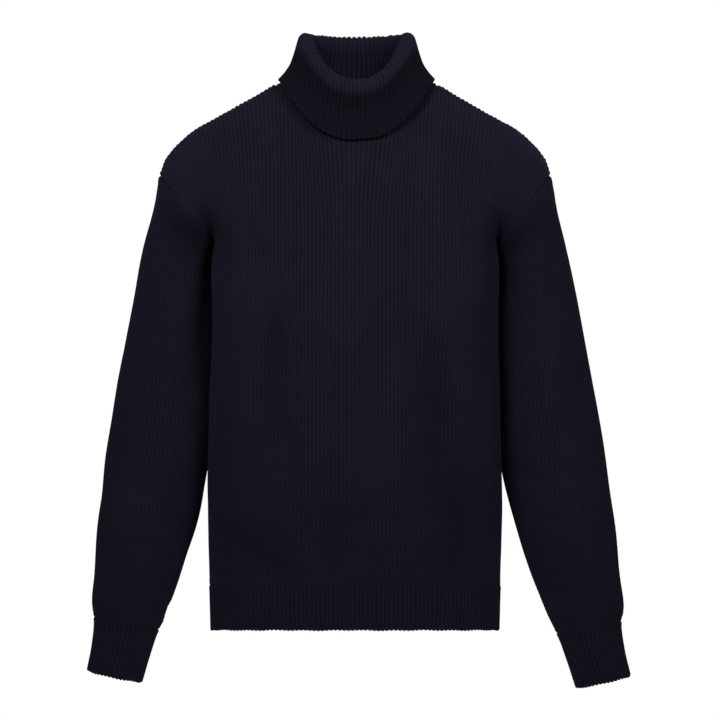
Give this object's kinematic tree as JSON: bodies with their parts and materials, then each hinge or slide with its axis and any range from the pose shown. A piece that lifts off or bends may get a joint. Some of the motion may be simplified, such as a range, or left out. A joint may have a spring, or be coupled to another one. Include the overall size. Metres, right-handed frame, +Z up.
{
  "type": "rib-knit roll-neck sweater",
  "caption": "Dark navy rib-knit sweater, filled out as if worn: hollow body and long sleeves, turned-over roll neck, rib hem band and rib cuffs.",
  "frame": {"origin": "middle of the neck, level with the foot of the collar's sides, where the wearer carries the sweater", "axes": "+Z up; the front faces -Y; +X towards the wearer's left"},
  "size_m": [0.6805, 0.2474, 0.8225],
  "materials": {
    "navy_knit": "matt, slightly fuzzy ribbed wool knit"
  },
  "bodies": {
    "root": {"front": "navy_knit", "back": "navy_knit", "hem_front": "navy_knit", "hem_back": "navy_knit", "sleeve_r": "navy_knit", "sleeve_l": "navy_knit", "cuff_r": "navy_knit", "cuff_l": "navy_knit", "collar": "navy_knit"}
  },
  "joints": []
}
